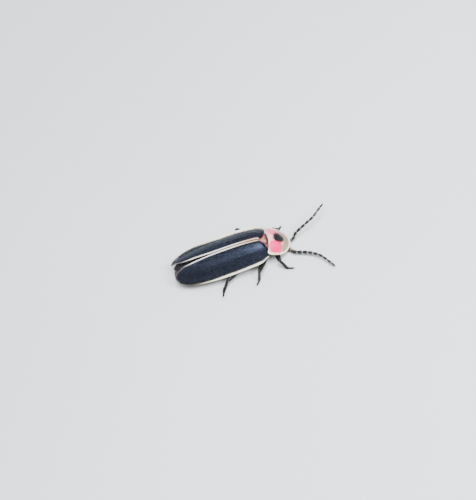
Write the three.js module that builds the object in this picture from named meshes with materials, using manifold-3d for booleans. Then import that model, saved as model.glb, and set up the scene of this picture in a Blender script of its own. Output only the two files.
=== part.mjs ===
// A male eastern firefly at rest, life size, as a still museum model.
// Millimetres: +X runs towards the head, +Y to the animal's left and +Z up, with six feet flat on one level.
// Every plate, segment and limb section is its own solid, and pieces that touch keep a narrow gap.
import * as THREE from "three";
import { mergeVertices } from "three/addons/utils/BufferGeometryUtils.js";
import Module from "manifold-3d";

const wasm = await Module();
wasm.setup();

// Driving dimensions. X is 0 at the hind corners of the pronotum, and Z is 0 at the floor.
const GAP = 0.1;
const ELYTRON = { front: -0.02, tip: -10.7, halfSpan: 2.49, thick: 0.45, rimThick: 0.32, drop: 1.6 };
const HIND_WING = { front: -1.3, tip: -10.8, inner: 0.07, outer: 1.4, thick: 0.34, vein: 0.05 };
const PRONOTUM = { length: 2.76, halfWidth: 1.62, flare: 0.1, cornerZ: 2.6, pitch: 34, dome: 0.56, thick: 0.42 };
const PROSTERNUM = { back: 0.05, front: 0.78 };
const MESOTHORAX = { back: -1.0, front: -0.05 };
const METATHORAX = { back: -3.0, front: -1.1 };
const ABDOMEN = { front: -3.1, tip: -10.85, segments: 8, lanterns: [6, 7] };
const HEAD = { x: 1.2, z: 1.0, halfLength: 0.6, halfWidth: 0.62, halfHeight: 0.56 };
const EYE = { x: 1.04, y: 0.6, z: 0.86, radius: 0.44 };
const ANTENNA = { segments: 11, baseRadius: 0.26, tipRadius: 0.15, waist: 0.8 };
const COXA_RADIUS = 0.3;
const FEMUR_RADIUS = 0.28;
const TIBIA_RADIUS = 0.24;
const TARSUS = { radius: 0.22, lobe: 0.3, clawRadius: 0.07, clawLength: 0.26 };

// Where each leg bends: the root of the coxa, the hip, the knee, the ankle and the toe.
const LEGS = {
  front_left: [[0.4, 0.45, 1.45], [0.5, 0.85, 0.92], [0.65, 1.85, 1.35], [1.1, 2.15, 0.3], [1.38, 2.55, 0.2]],
  front_right: [[0.4, -0.45, 1.45], [0.5, -0.85, 0.92], [0.74, -2.27, 1.45], [1.1, -2.66, 0.3], [1.62, -2.82, 0.2]],
  mid_left: [[-0.55, 0.5, 1.5], [-0.8, 0.98, 0.85], [-3.2, 3.05, 1.55], [-3.45, 2.98, 0.3], [-4.0, 3.08, 0.2]],
  mid_right: [[-0.55, -0.5, 1.5], [-0.7, -0.98, 0.85], [-1.66, -2.9, 1.55], [-2.08, -3.12, 0.3], [-2.42, -3.5, 0.2]],
  hind_left: [[-2.45, 0.55, 1.5], [-2.8, 1.0, 0.82], [-4.95, 2.6, 1.12], [-6.1, 2.9, 0.3], [-6.75, 3.1, 0.2]],
  hind_right: [[-2.45, -0.55, 1.5], [-2.8, -1.0, 0.82], [-5.3, -2.58, 1.15], [-6.1, -3.15, 0.3], [-6.3, -3.65, 0.2]],
};

// The line of each antenna, from its socket on the face to its tip.
const ANTENNA_LINES = {
  left: [
    [1.5, 0.34, 0.7],
    [2.05, 0.36, 0.36],
    [2.56, 0.26, 0.68],
    [2.98, 0.42, 1.32],
    [4.3, 0.86, 1.9],
    [5.33, 1.2, 2.25],
    [6.05, 1.75, 2.4],
    [6.73, 2.38, 2.3],
  ],
  right: [
    [1.5, -0.34, 0.7],
    [2.0, -0.9, 0.42],
    [2.46, -1.38, 0.68],
    [3.47, -1.75, 0.8],
    [4.27, -2.18, 0.8],
    [5.02, -2.72, 0.75],
    [5.7, -3.6, 0.65],
    [6.21, -4.29, 0.5],
  ],
};

// Materials, one for each finish that the animal shows.
const finish = (color, roughness, metalness = 0) =>
  new THREE.MeshStandardMaterial({ color, roughness, metalness });
const CHARCOAL = finish(0x2b2c33, 0.5);
const ROSE_AND_CREAM = finish(0xe9b9a0, 0.55);
const RUSSET = finish(0xb5655a, 0.5);
const DARK_BROWN = finish(0x2a211d, 0.45);
const BLACK = finish(0x14110f, 0.4);
const EYE_BLACK = finish(0x0b0a0b, 0.2);
const LANTERN = finish(0xe8e2b4, 0.5);
const SMOKY_WING = finish(0x1c1a1d, 0.35);

// Small helpers.
const { clamp, lerp, smoothstep, degToRad } = THREE.MathUtils;
const at = ([x, y, z]) => new THREE.Vector3(x, y, z);
const signedPower = (value, power) => Math.sign(value) * Math.abs(value) ** power;

// The value at x on a smooth line through a few [x, value] pairs, in rising x.
function through(pairs) {
  const line = new THREE.CubicInterpolant(pairs.map((p) => p[0]), pairs.map((p) => p[1]), 1, [0]);
  return (x) => line.evaluate(clamp(x, pairs[0][0], pairs.at(-1)[0]))[0];
}

// A closed three.js geometry as a solid, with its shared vertices joined and each one moved by place().
function warped(geometry, place) {
  geometry.deleteAttribute("normal");
  geometry.deleteAttribute("uv");
  const joined = mergeVertices(geometry);
  const position = joined.attributes.position;
  const vertex = new THREE.Vector3();
  for (let i = 0; i < position.count; i++) {
    const moved = place(vertex.fromBufferAttribute(position, i));
    position.setXYZ(i, moved.x, moved.y, moved.z);
  }
  return new wasm.Manifold(
    new wasm.Mesh({
      numProp: 3,
      vertProperties: position.array,
      triVerts: new Uint32Array(joined.index.array),
    }),
  );
}

const firefly = new THREE.Group();

// Adds a solid to the model as one named mesh, keeping its largest closed surface.
function addNode(name, solid, material) {
  const largest = solid.decompose().sort((a, b) => b.volume() - a.volume())[0];
  const mesh = largest.getMesh();
  const geometry = new THREE.BufferGeometry();
  geometry.setAttribute("position", new THREE.BufferAttribute(mesh.vertProperties, 3));
  geometry.setIndex(new THREE.BufferAttribute(mesh.triVerts, 1));
  const node = new THREE.Mesh(geometry, material);
  node.name = name;
  firefly.add(node);
}

// The part of a solid beyond a plane through a joint, less half the gap. sign -1 keeps the near side.
function trimmed(solid, joint, normal, sign) {
  const n = normal.clone().multiplyScalar(sign).normalize();
  return solid.trimByPlane([n.x, n.y, n.z], n.dot(joint) + GAP / 2);
}

// A slab: place(u, v, w) maps 0 to 1 along, across and from top to underside.
function slab(rows, columns, place) {
  return warped(new THREE.BoxGeometry(1, 1, 1, rows, columns, 1), (p) =>
    at(place(p.x + 0.5, p.y + 0.5, 0.5 - p.z)),
  );
}

function ball([cx, cy, cz], radius) {
  return warped(new THREE.SphereGeometry(radius, 18, 14), (s) => at([cx + s.x, cy - s.z, cz + s.y]));
}

// A limb along a curve, where size(t) gives its half width and half height.
function limb(curve, size, { sides = 8, rows = 8, stations = (u) => u } = {}) {
  const run = curve.getPointAt(1).sub(curve.getPointAt(0)).normalize();
  const up = Math.abs(run.z) < 0.8 ? at([0, 0, 1]) : at([1, 0, 0]);
  return warped(new THREE.CylinderGeometry(1, 1, 1, sides, rows), (c) => {
    const t = clamp(stations(c.y + 0.5), 0, 1);
    const along = curve.getTangentAt(t);
    const side = along.clone().cross(up).normalize();
    const over = side.clone().cross(along);
    const [halfWidth, halfHeight] = size(t);
    return curve
      .getPointAt(t)
      .addScaledVector(side, c.x * halfWidth)
      .addScaledVector(over, c.z * halfHeight);
  });
}

// A limb section with rounded ends that reach past both joints, bowed by a little at its middle.
function section(from, to, radiusAt, bow = at([0, 0, 0])) {
  const run = to.clone().sub(from).normalize();
  const start = from.clone().addScaledVector(run, -radiusAt(0));
  const end = to.clone().addScaledVector(run, radiusAt(1));
  const middle = start.clone().lerp(end, 0.5).addScaledVector(bow, 2);
  const length = start.distanceTo(end);
  const size = (t) => {
    const cap = radiusAt(Math.round(t));
    const inset = clamp((Math.min(t, 1 - t) * length) / cap, 0, 1);
    const radius = radiusAt(t) * Math.max(0.35, Math.sqrt(1 - (1 - inset) ** 2));
    return [radius, radius];
  };
  const stations = (u) => lerp(u, (1 - Math.cos(Math.PI * u)) / 2, 0.75);
  return limb(new THREE.QuadraticBezierCurve3(start, middle, end), size, { stations });
}

// A body section from x0 to x1, by its half width, top and underside, kept below roof(x, y).
function trunk(x0, x1, { halfWidth, top, under, roof = () => Infinity, boxiness = 0.8, sides = 20, rows = 3 }) {
  return warped(new THREE.CylinderGeometry(1, 1, 1, sides, rows), (c) => {
    const t = c.y + 0.5;
    const x = lerp(x0, x1, t);
    const middle = lerp(under(x, t), top(x, t), 0.3);
    const y = -signedPower(c.x, boxiness) * halfWidth(x, t);
    const z = signedPower(c.z, boxiness);
    const reach = z > 0 ? top(x, t) - middle : middle - under(x, t);
    return at([x, y, Math.min(middle + z * reach, roof(x, y))]);
  });
}

// Wing cases.

const TIP_ROUNDING = 1.6;
const SHOULDER = { notch: 0.72, rounding: 0.3, run: 1.3 };

// Height of the closed wing cases along their seam, their reach from the midline and their parting there.
const elytraRidge = through([[-10.9, 2.35], [-9, 2.88], [-6.3, 3.28], [-3, 3.5], [-1.2, 3.4], [0, 3.02]]);
const elytraReach = through([
  [-10.8, 1.58],
  [-9.2, 2.1],
  [-7, 2.42],
  [-4.8, ELYTRON.halfSpan],
  [-2.4, 2.4],
  [-0.9, 2.08],
  [0, 1.45],
]);
const elytraParting = through([[-10.8, 0.36], [-9, 0.22], [-7.4, 0.13], [-5.8, 0.06], [-3, 0.05], [0, 0.05]]);

// Height of the wing cases' outer face.
function elytraTop(x, y) {
  const share = Math.abs(y) / elytraReach(x);
  const flange = 0.87;
  const curve = 0.93 * clamp(share / flange, 0, 1) ** 2.4;
  const edge = 0.07 * clamp((share - flange) / (1 - flange), 0, 1);
  const seam = 0.07 * Math.exp(-((share / 0.1) ** 2));
  const drop = ELYTRON.drop * (elytraReach(x) / ELYTRON.halfSpan) ** 1.2;
  return elytraRidge(x) - drop * (curve + edge) - seam;
}

// Height of the wing cases' inner face.
function elytraUnder(x, y) {
  const share = clamp(Math.abs(y) / elytraReach(x), 0, 1);
  return elytraTop(x, y) - lerp(ELYTRON.thick, ELYTRON.rimThick, share ** 4);
}

// Stations down a wing case: even along its sides, then round its tip.
function elytronX(u) {
  const straight = 0.72;
  const bend = ELYTRON.tip + TIP_ROUNDING;
  if (u < straight) return lerp(ELYTRON.front, bend, u / straight);
  return bend - TIP_ROUNDING * Math.sin(((u - straight) / (1 - straight)) * 0.47 * Math.PI);
}

// A place on the plan of a wing case: u from front to tip, v from seam to outer edge.
function elytronPlan(u, v) {
  const x = elytronX(u);
  const bend = ELYTRON.tip + TIP_ROUNDING;
  const round = x > bend ? 1 : Math.sqrt(1 - ((bend - x) / TIP_ROUNDING) ** 2);
  const middle = (elytraParting(x) + elytraReach(x)) / 2;
  const half = ((elytraReach(x) - elytraParting(x)) / 2) * round;
  const setBack = SHOULDER.notch * (1 - v) ** 3 + SHOULDER.rounding * v ** 6;
  return [x - setBack * Math.exp((x - ELYTRON.front) / SHOULDER.run), lerp(middle - half, middle + half, v)];
}

// One wing case, with its columns closer together towards the outer edge.
function elytron(side) {
  const stations = through([[0, 0], [0.1, 0.04], [0.5, 0.45], [0.8, 0.83], [1, 1]]);
  return slab(24, 9, (u, v, w) => {
    const [x, y] = elytronPlan(1 - u, clamp(stations(side > 0 ? v : 1 - v), 0, 1));
    return [x, y * side, lerp(elytraTop(x, y), elytraUnder(x, y), w)];
  });
}

// One folded hind wing under its case, with its main veins as ridges.
function hindWing(side) {
  const columns = 10;
  return slab(20, columns, (u, v, w) => {
    const across = side > 0 ? v : 1 - v;
    const x = lerp(HIND_WING.tip, HIND_WING.front, u);
    const narrowed = Math.sqrt(1 - (1 - clamp(u / 0.16, 0.04, 1)) ** 2);
    const y = lerp(HIND_WING.inner + 0.25 * (1 - narrowed), lerp(0.6, HIND_WING.outer, narrowed), across);
    const vein = Math.round(across * columns) % 2 === 1 ? HIND_WING.vein : 0;
    const top = elytraUnder(Math.max(x, ELYTRON.tip + 0.1), y) - GAP - HIND_WING.vein;
    return [x, y * side, w < 0.5 ? top + vein : top - HIND_WING.thick];
  });
}

// Nothing under the wings rises above this.
function wingFloor(x, y) {
  const wing = (HIND_WING.thick + GAP) * (1 - smoothstep(Math.abs(y), HIND_WING.outer + 0.08, HIND_WING.outer + 0.4));
  const covered = x < HIND_WING.front + 0.25 ? wing : 0;
  return elytraUnder(x, y) - GAP - HIND_WING.vein - covered;
}

function addWings() {
  for (const [name, side] of [["left", 1], ["right", -1]]) {
    addNode(`elytron_${name}`, elytron(side), CHARCOAL);
    addNode(`hind_wing_${name}`, hindWing(side), SMOKY_WING);
  }
}

// The small three-cornered plate between the roots of the wing cases.
function addScutellum() {
  const length = 0.6;
  const halfWidth = 0.36;
  const plate = slab(6, 6, (u, v, w) => {
    const x = lerp(-0.08 - length, -0.08, u);
    const y = (2 * v - 1) * halfWidth * (0.25 + 0.75 * u);
    const crown = 0.12 * (1 - (2 * v - 1) ** 2);
    return [x, y, lerp(2.9 - 0.2 * u + crown, 2.6 - 0.08 * u, w)];
  });
  addNode("scutellum", plate, RUSSET);
}

// Pronotum: the shield over the head, worked out in its own tilted plane.

const pitch = degToRad(PRONOTUM.pitch);
const SHIELD_CENTRE = 1.2;

// A place on the shield: p forwards, q to the left and h out of its plane.
function onShield(p, q, h) {
  return [
    p * Math.cos(pitch) + h * Math.sin(pitch),
    q,
    PRONOTUM.cornerZ - p * Math.sin(pitch) + h * Math.cos(pitch),
  ];
}

// The shield's outline from its centre: rounded in front, nearly square behind.
function shieldReach(angle) {
  const ahead = Math.cos(angle) > 0;
  const length = ahead ? PRONOTUM.length - SHIELD_CENTRE : SHIELD_CENTRE;
  const power = ahead ? 1.8 : 9;
  const run = Math.abs(Math.cos(angle) / length) ** power;
  const span = Math.abs(Math.sin(angle) / PRONOTUM.halfWidth) ** power;
  return (run + span) ** (-1 / power);
}

// How much wider than at its middle the shield is, towards its hind corners.
const shieldFlare = (p) => 1 + PRONOTUM.flare * clamp(1 - p / SHIELD_CENTRE, 0, 1);

// How far the margin droops, from the hind corners to the front.
const shieldDroop = through([[0, 0], [0.4, 0.15], [1.2, 0.29], [1.8, 0.35], [2.3, 0.3], [2.76, 0.15]]);

// The share of the way from the shield's centre to its outline, at most 1.
function shieldShare(p, q) {
  const run = p - SHIELD_CENTRE;
  const span = q / shieldFlare(p);
  return Math.min(1, Math.hypot(run, span) / shieldReach(Math.atan2(span, run)));
}

// Height of the shield's upper face: a domed disc with a shallow furrow, inside a drooping margin.
function shieldTop(p, q) {
  const ahead = Math.max(0, p - 0.75) / 1.55;
  const spread = Math.max(0, 1 - ahead ** 2 - (q / 1.5) ** 2);
  const furrow = 0.07 * Math.exp(-((q / 0.13) ** 2)) * clamp(1.6 - p, 0, 1);
  return PRONOTUM.dome * spread ** 1.15 - furrow - shieldDroop(p) * shieldShare(p, q) ** 2.5;
}

function addPronotum() {
  const shield = warped(new THREE.SphereGeometry(1, 40, 12), (s) => {
    const angle = Math.atan2(-s.z, s.x);
    const share = Math.min(1, Math.hypot(s.x, s.z)) ** 0.8;
    const p = SHIELD_CENTRE + share * shieldReach(angle) * Math.cos(angle);
    const q = share * shieldReach(angle) * Math.sin(angle) * shieldFlare(p);
    const half = PRONOTUM.thick / 2;
    const face = Math.abs(s.y) < 1e-6 ? 0 : Math.sign(s.y) * half * Math.sqrt(Math.max(0, 1 - share ** 5));
    return at(onShield(p, q, shieldTop(p, q) - half + 0.6 * half * share ** 4 + face));
  });
  addNode("pronotum", shield, ROSE_AND_CREAM);
}

// Nothing under the shield rises above this.
function shieldFloor(x, y) {
  let h = 0;
  let p = 0;
  for (let i = 0; i < 4; i++) {
    p = (x - h * Math.sin(pitch)) / Math.cos(pitch);
    h = shieldTop(p, y) - PRONOTUM.thick;
  }
  return PRONOTUM.cornerZ - p * Math.sin(pitch) + h * Math.cos(pitch) - GAP - 0.04;
}

// Thorax: three sections, each with a pair of sockets for its coxae.

const thoraxWidth = through([[-3.1, 1.7], [-2, 1.6], [-1, 1.4], [0, 1.2], [0.8, 1.1]]);
const thoraxUnder = through([[-3.1, 1.2], [-1.5, 1.12], [0, 1.18], [0.8, 1.2]]);

// The hip half of a leg: a thick peg from inside the thorax to the hip.
function coxaPeg(joints, growth = 0) {
  return section(at(joints[0]), at(joints[1]), () => COXA_RADIUS + growth);
}

function thoraxSection({ back, front }, pair, roof) {
  let solid = trunk(back, front, {
    halfWidth: (x, t) => thoraxWidth(x) * (1 - 0.06 * Math.abs(2 * t - 1) ** 3),
    top: () => 2.6,
    under: thoraxUnder,
    roof,
  });
  for (const side of ["left", "right"]) solid = solid.subtract(coxaPeg(LEGS[`${pair}_${side}`], GAP));
  return solid;
}

function addThorax() {
  addNode("prosternum", thoraxSection(PROSTERNUM, "front", shieldFloor), DARK_BROWN);
  addNode("mesothorax", thoraxSection(MESOTHORAX, "mid", (x, y) => Math.min(wingFloor(x, y), 2.4)), RUSSET);
  addNode("metathorax", thoraxSection(METATHORAX, "hind", wingFloor), DARK_BROWN);
}

// Abdomen: eight segments, each a little wider at its hind edge, with the lantern under the sixth and seventh.

const abdomenWidth = through([[-11, 0.45], [-10.4, 0.8], [-9.4, 1.2], [-7.2, 1.62], [-5, 1.78], [-3.1, 1.72]]);
const abdomenTop = through([[-11, 1.5], [-9.4, 1.82], [-6, 2.3], [-3, 2.6]]);
const abdomenUnder = through([[-11, 1.2], [-9.4, 1.08], [-6, 1.05], [-3, 1.2]]);

function abdomenSegment(front, back) {
  return trunk(back, front, {
    halfWidth: (x, t) => abdomenWidth(x) * (1 + 0.03 * (1 - 2 * t)),
    top: (x, t) => abdomenTop(x) + 0.03 * (1 - 2 * t),
    under: (x, t) => abdomenUnder(x) - 0.03 * (1 - 2 * t),
    roof: wingFloor,
    rows: 2,
  });
}

function addAbdomen() {
  const pitchLength = (ABDOMEN.front - ABDOMEN.tip) / ABDOMEN.segments;
  for (let i = 1; i <= ABDOMEN.segments; i++) {
    const front = ABDOMEN.front - (i - 1) * pitchLength;
    const segment = abdomenSegment(front, front - pitchLength + GAP);
    if (!ABDOMEN.lanterns.includes(i)) {
      addNode(`abdomen_${i}`, segment, DARK_BROWN);
      continue;
    }
    const level = lerp(abdomenUnder(front), abdomenTop(front), 0.3);
    const parting = at([0, 0, level]);
    addNode(`abdomen_${i}`, trimmed(segment, parting, at([0, 0, 1]), 1), DARK_BROWN);
    addNode(`lantern_${i}`, trimmed(segment, parting, at([0, 0, 1]), -1), LANTERN);
  }
}

// Head, with its eyes, jaws, palps and antennae.

function headBall(growth = 0) {
  return warped(new THREE.SphereGeometry(1, 20, 14), (s) => {
    const x = HEAD.x + (HEAD.halfLength + growth) * s.x;
    const y = -(HEAD.halfWidth + growth) * s.z;
    const bowed = 0.45 * Math.max(0, s.x) ** 2;
    return at([x, y, Math.min(HEAD.z - bowed + (HEAD.halfHeight + growth) * s.y, shieldFloor(x, y) + growth)]);
  });
}

function addHead() {
  const neck = at([PROSTERNUM.front + GAP / 2, 0, 0]);
  addNode("head", trimmed(headBall(), neck, at([1, 0, 0]), 1), DARK_BROWN);
  const clearance = headBall(GAP);
  for (const [name, side] of [["left", 1], ["right", -1]]) {
    const eye = ball([EYE.x, EYE.y * side, EYE.z], EYE.radius);
    addNode(`eye_${name}`, trimmed(eye, neck, at([1, 0, 0]), 1).subtract(clearance), EYE_BLACK);

    const jawRoot = at([1.5, 0.13 * side, 0.34]);
    const jawTip = at([1.64, 0.09 * side, 0.12]);
    const jaw = section(jawRoot, jawTip, (t) => lerp(0.15, 0.08, t), at([0.03, 0.06 * side, 0]));
    addNode(`mandible_${name}`, jaw.subtract(clearance), DARK_BROWN);

    const palpRoot = at([1.22, 0.44 * side, 0.33]);
    const palpTip = at([1.4, 0.6 * side, 0.19]);
    const palp = section(palpRoot, palpTip, (t) => lerp(0.12, 0.16, t));
    addNode(`palp_${name}`, palp.subtract(clearance), BLACK);
  }
}

// An antenna of eleven segments: a stout first, a short second, and nine that narrow to the tip.
function antennaRadius(t) {
  const first = 0.12;
  const second = 0.165;
  let local = 0;
  if (t < first) local = t / first;
  else if (t < second) local = (t - first) / (second - first);
  else local = (((t - second) / (1 - second)) * (ANTENNA.segments - 2)) % 1;
  const swell = ANTENNA.waist + (1 - ANTENNA.waist) * Math.sin(Math.PI * clamp(local * 0.9 + 0.1, 0, 1)) ** 0.6;
  const rounded = Math.sqrt(clamp((1 - t) / 0.03, 0.1, 1));
  return lerp(ANTENNA.baseRadius, ANTENNA.tipRadius, t) * swell * rounded;
}

function addAntennae() {
  const clearance = headBall(GAP);
  for (const [name, line] of Object.entries(ANTENNA_LINES)) {
    const curve = new THREE.CatmullRomCurve3(line.map(at), false, "centripetal");
    const antenna = limb(curve, (t) => [antennaRadius(t), antennaRadius(t)], { sides: 8, rows: 34 });
    addNode(`antenna_${name}`, antenna.subtract(clearance), BLACK);
  }
}

// Legs.

// The direction that splits the bend at a joint evenly.
function bendAt(before, joint, after) {
  const arriving = joint.clone().sub(before).normalize();
  const leaving = after.clone().sub(joint).normalize();
  return arriving.add(leaving);
}

// A foot of five tarsomeres, the fourth with two broad lobes, and a pair of claws.
function tarsus(ankle, toe) {
  const run = toe.clone().sub(ankle).setZ(0).normalize();
  const side = at([-run.y, run.x, 0]);
  const ends = [0, 0.32, 0.5, 0.64, 0.82, 1];
  const widths = [0.9, 0.92, 1, TARSUS.lobe / TARSUS.radius, 0.68];
  const size = (t) => {
    const i = clamp(ends.findIndex((end) => t < end) - 1, 0, 4);
    const last = t >= 1 ? 4 : i;
    const local = clamp((t - ends[last]) / (ends[last + 1] - ends[last]), 0, 1);
    const swell = 0.72 + 0.28 * Math.sin(Math.PI * (0.12 + 0.8 * local));
    return [TARSUS.radius * widths[last] * swell, TARSUS.radius * swell];
  };
  const start = ankle.clone().addScaledVector(run, -TARSUS.radius);
  const middle = ankle.clone().lerp(toe, 0.45).setZ(0.18);
  let foot = limb(new THREE.QuadraticBezierCurve3(start, middle, toe), size, { rows: 15 });
  for (const turn of [-1, 1]) {
    const root = toe.clone().addScaledVector(run, -0.08).addScaledVector(side, 0.05 * turn);
    const tip = toe.clone().addScaledVector(run, TARSUS.clawLength).addScaledVector(side, 0.14 * turn).setZ(0.1);
    foot = foot.add(section(root, tip, (t) => lerp(TARSUS.clawRadius, 0.035, t), at([0, 0, 0.03])));
  }
  return foot.trimByPlane([0, 0, 1], 0);
}

function addLegs() {
  for (const [name, joints] of Object.entries(LEGS)) {
    const [root, hip, knee, ankle, toe] = joints.map(at);
    const hipBend = bendAt(root, hip, knee);
    const kneeBend = bendAt(hip, knee, ankle);
    const ankleBend = bendAt(knee, ankle, toe);
    const femurRadius = (t) => FEMUR_RADIUS * (0.8 + 0.2 * Math.sin(Math.PI * clamp(t, 0, 1)));
    const tibiaRadius = (t) => TIBIA_RADIUS * lerp(0.9, 1, t);

    const coxa = coxaPeg(joints);
    const femur = section(hip, knee, femurRadius, at([0, 0, 0.05]));
    const tibia = section(knee, ankle, tibiaRadius, at([0.03, 0, 0]));
    addNode(`coxa_${name}`, trimmed(coxa, hip, hipBend, -1), DARK_BROWN);
    addNode(`femur_${name}`, trimmed(trimmed(femur, hip, hipBend, 1), knee, kneeBend, -1), DARK_BROWN);
    addNode(`tibia_${name}`, trimmed(trimmed(tibia, knee, kneeBend, 1), ankle, ankleBend, -1), DARK_BROWN);
    addNode(`tarsus_${name}`, trimmed(tarsus(ankle, toe), ankle, ankleBend, 1), BLACK);
  }
}

addWings();
addPronotum();
addScutellum();
addThorax();
addAbdomen();
addHead();
addAntennae();
addLegs();

// The model stands with the middle of its base box at the origin.
const box = new THREE.Box3().setFromObject(firefly);
const middle = box.getCenter(new THREE.Vector3());
firefly.position.set(-middle.x, -middle.y, -box.min.z);

export default firefly;
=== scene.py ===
"""A life-size firefly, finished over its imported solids: cuticle, markings, veins, joints and hair.

Lengths are millimetres from the hind corners of the shield, on the floor, until a piece is closed."""

import math
import random
from bisect import bisect_right
from collections import namedtuple

import bmesh
import bpy
import numpy as np
from mathutils import Matrix, Vector, kdtree, noise


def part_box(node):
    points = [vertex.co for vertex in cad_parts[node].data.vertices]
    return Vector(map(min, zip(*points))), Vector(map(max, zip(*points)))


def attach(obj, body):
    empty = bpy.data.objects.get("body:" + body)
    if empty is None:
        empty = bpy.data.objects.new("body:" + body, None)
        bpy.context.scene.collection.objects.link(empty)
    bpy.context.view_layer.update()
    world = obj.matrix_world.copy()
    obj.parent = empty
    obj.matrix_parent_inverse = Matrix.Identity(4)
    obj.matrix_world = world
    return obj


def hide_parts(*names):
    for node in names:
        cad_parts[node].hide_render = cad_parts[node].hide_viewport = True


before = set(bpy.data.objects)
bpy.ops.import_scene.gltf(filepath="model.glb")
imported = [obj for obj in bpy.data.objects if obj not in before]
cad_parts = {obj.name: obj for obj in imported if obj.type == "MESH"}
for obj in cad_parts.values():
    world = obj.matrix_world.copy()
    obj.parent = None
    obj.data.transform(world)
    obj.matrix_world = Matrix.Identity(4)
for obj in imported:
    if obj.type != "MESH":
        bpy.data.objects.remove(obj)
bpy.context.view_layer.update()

MM = 0.001
FOREPLATE_FRONT = 0.78
ORIGIN = Vector((
    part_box("prosternum")[1].x / MM - FOREPLATE_FRONT,
    (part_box("pronotum")[0].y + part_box("pronotum")[1].y) / 2 / MM,
    0,
))
SIDES = {"left": 1, "right": -1}
PATH_STEPS = 24


# Small sums that every form shares.

def clamp(value, low=0.0, high=1.0):
    return max(low, min(high, value))


def lerp(a, b, t):
    return a + (b - a) * t


def smooth(value, low, high):
    t = clamp((value - low) / (high - low))
    return t * t * (3 - 2 * t)


def hump(value, centre, width):
    return math.exp(-(((value - centre) / width) ** 2))


def signed_power(value, power):
    return math.copysign(abs(value) ** power, value)


def hermite(t, a, b, leave, arrive):
    """A place on the smooth line from a to b that leaves and arrives with the given runs."""
    return (
        (2 * t**3 - 3 * t**2 + 1) * a
        + (t**3 - 2 * t**2 + t) * leave
        + (3 * t**2 - 2 * t**3) * b
        + (t**3 - t**2) * arrive
    )


def through(*pairs):
    """The value at x on a smooth line through a few (x, value) pairs, in rising x."""
    xs = [pair[0] for pair in pairs]
    ys = [pair[1] for pair in pairs]
    slopes = [(ys[i + 1] - ys[i - 1]) / (xs[i + 1] - xs[i - 1]) for i in range(1, len(xs) - 1)]
    first = 1.5 * (ys[1] - ys[0]) / (xs[1] - xs[0]) - 0.5 * slopes[0]
    last = 1.5 * (ys[-1] - ys[-2]) / (xs[-1] - xs[-2]) - 0.5 * slopes[-1]
    slopes = [first, *slopes, last]

    def value(x):
        x = clamp(x, xs[0], xs[-1])
        i = min(bisect_right(xs, x), len(xs) - 1) - 1
        run = xs[i + 1] - xs[i]
        return hermite((x - xs[i]) / run, ys[i], ys[i + 1], run * slopes[i], run * slopes[i + 1])

    return value


def rough(x, y, z, size):
    """Unevenness between -1 and 1, with bumps of about the given size."""
    return noise.noise(Vector((x, y, z)) / size)


class Path:
    """A smooth line through close points, measured along its length."""

    def __init__(self, points):
        self.points = [Vector(p) for p in points]
        self.marks = [0.0]
        for a, b in zip(self.points, self.points[1:]):
            self.marks.append(self.marks[-1] + (b - a).length)
        self.length = self.marks[-1]
        run = self.points[-1] - self.points[0]
        self.up = Vector((0, 0, 1)) if abs(run.normalized().z) < 0.8 else Vector((1, 0, 0))

    def point(self, t):
        mark = clamp(t) * self.length
        i = min(max(bisect_right(self.marks, mark), 1), len(self.points) - 1)
        a, b = self.marks[i - 1], self.marks[i]
        return self.points[i - 1].lerp(self.points[i], (mark - a) / (b - a) if b > a else 0)

    def at(self, t):
        """The place, side and over directions, and direction along, at a share of the length."""
        step = 0.02
        along = (self.point(t + step) - self.point(t - step)).normalized()
        side = along.cross(self.up).normalized()
        return self.point(t), side, side.cross(along), along

    def part(self, start, end, count=14):
        return Path([self.point(lerp(start, end, i / count)) for i in range(count + 1)])


def arc(a, b, c):
    """A single bend from a to c, drawn towards b."""
    a, b, c = Vector(a), Vector(b), Vector(c)
    stations = [i / PATH_STEPS for i in range(PATH_STEPS + 1)]
    return Path([a.lerp(b, t).lerp(b.lerp(c, t), t) for t in stations])


def bowed(a, b, bow=(0, 0, 0)):
    """A line from a to b whose middle is pushed out by the bow."""
    a, b = Vector(a), Vector(b)
    return arc(a, a.lerp(b, 0.5) + 2 * Vector(bow), b)


def line_through(points):
    """A centripetal curve through a few points."""
    knots = [Vector(p) for p in points]
    knots = [2 * knots[0] - knots[1], *knots, 2 * knots[-1] - knots[-2]]
    made = []
    for i in range(1, len(knots) - 2):
        p0, p1, p2, p3 = knots[i - 1 : i + 3]
        d0, d1, d2 = (math.sqrt((b - a).length) for a, b in ((p0, p1), (p1, p2), (p2, p3)))
        leave = ((p1 - p0) / d0 - (p2 - p0) / (d0 + d1) + (p2 - p1) / d1) * d1
        arrive = ((p2 - p1) / d1 - (p3 - p1) / (d1 + d2) + (p3 - p2) / d2) * d1
        made += [hermite(k / PATH_STEPS, p1, p2, leave, arrive) for k in range(PATH_STEPS)]
    return Path([*made, knots[-2]])


def even(radius):
    """The size of a round limb section that is equally thick along its length."""
    return lambda t: (radius, radius)


def tapered(start, end):
    """The size of a round limb section that goes evenly from one radius to another."""
    return lambda t: (lerp(start, end, t),) * 2


# Finishes, each built up node by node on the shader.

def paint(red, green, blue):
    """A colour given as it looks on screen, 0 to 255."""
    channels = [c / 255 for c in (red, green, blue)]
    return tuple(c / 12.92 if c < 0.04 else ((c + 0.055) / 1.055) ** 2.4 for c in channels) + (1.0,)


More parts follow.
